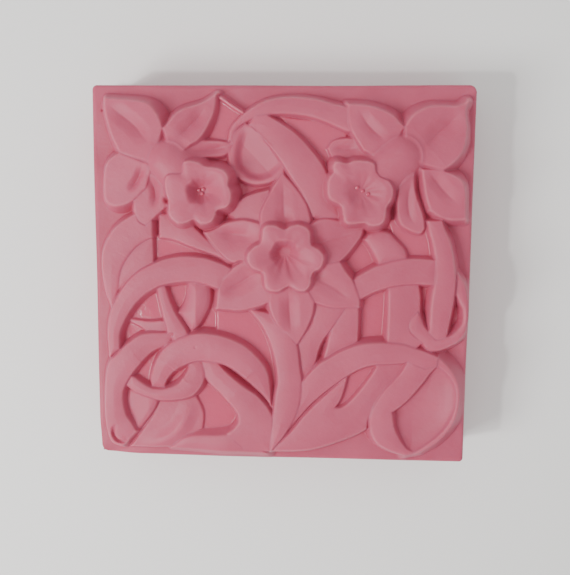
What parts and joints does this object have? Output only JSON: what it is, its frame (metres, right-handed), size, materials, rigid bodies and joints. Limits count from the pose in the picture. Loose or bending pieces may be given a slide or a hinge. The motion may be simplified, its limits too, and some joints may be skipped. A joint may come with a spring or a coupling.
{
  "type": "silicone soap mould",
  "caption": "Square flexible mould for a soap tile, face up, with raised daffodils and interlaced leaves on its face and an open pour cavity behind.",
  "frame": {"origin": "middle of the mould, on the plane of its open rim", "axes": "+Z out of the decorated face, +Y towards the top of the design, +X to its right"},
  "size_m": [0.0924, 0.0924, 0.028],
  "materials": {
    "silicone": "soft matt, slightly translucent"
  },
  "bodies": {
    "root": {"arch_leaf": "silicone", "big_arc": "silicone", "blade_inner": "silicone", "blade_outer": "silicone", "bottom_leaf": "silicone", "broad_leaf": "silicone", "central_stem": "silicone", "centre_petal_bottom": "silicone", "centre_petal_lower_left": "silicone", "centre_petal_lower_right": "silicone", "centre_petal_top": "silicone", "centre_petal_upper_left": "silicone", "centre_petal_upper_right": "silicone", "centre_trumpet": "silicone", "corner_leaf": "silicone", "corner_strip": "silicone", "cross_ribbon": "silicone", "diagonal_stem": "silicone", "dome_leaf": "silicone", "drop_leaf": "silicone", "hook_leaf": "silicone", "inner_arc": "silicone", "inner_stem": "silicone", "left_petal_1": "silicone", "left_petal_2": "silicone", "left_petal_3": "silicone", "left_petal_4": "silicone", "left_petal_5": "silicone", "left_stamens": "silicone", "left_trumpet": "silicone", "left_tube": "silicone", "long_leaf": "silicone", "loop_bowl": "silicone", "loop_hook": "silicone", "loop_left": "silicone", "loop_right": "silicone", "lower_left_ring": "silicone", "lower_right_arch": "silicone", "mould_tray": "silicone", "outer_arc": "silicone", "pool_floor": "silicone", "pool_rim": "silicone", "right_petal_1": "silicone", "right_petal_2": "silicone", "right_petal_3": "silicone", "right_petal_4": "silicone", "right_petal_5": "silicone", "right_stamens": "silicone", "right_stem": "silicone", "right_trumpet": "silicone", "right_tube": "silicone", "side_leaf": "silicone", "slant_stem": "silicone", "thin_rib": "silicone", "top_arch": "silicone", "wedge_leaf": "silicone"}
  },
  "joints": []
}
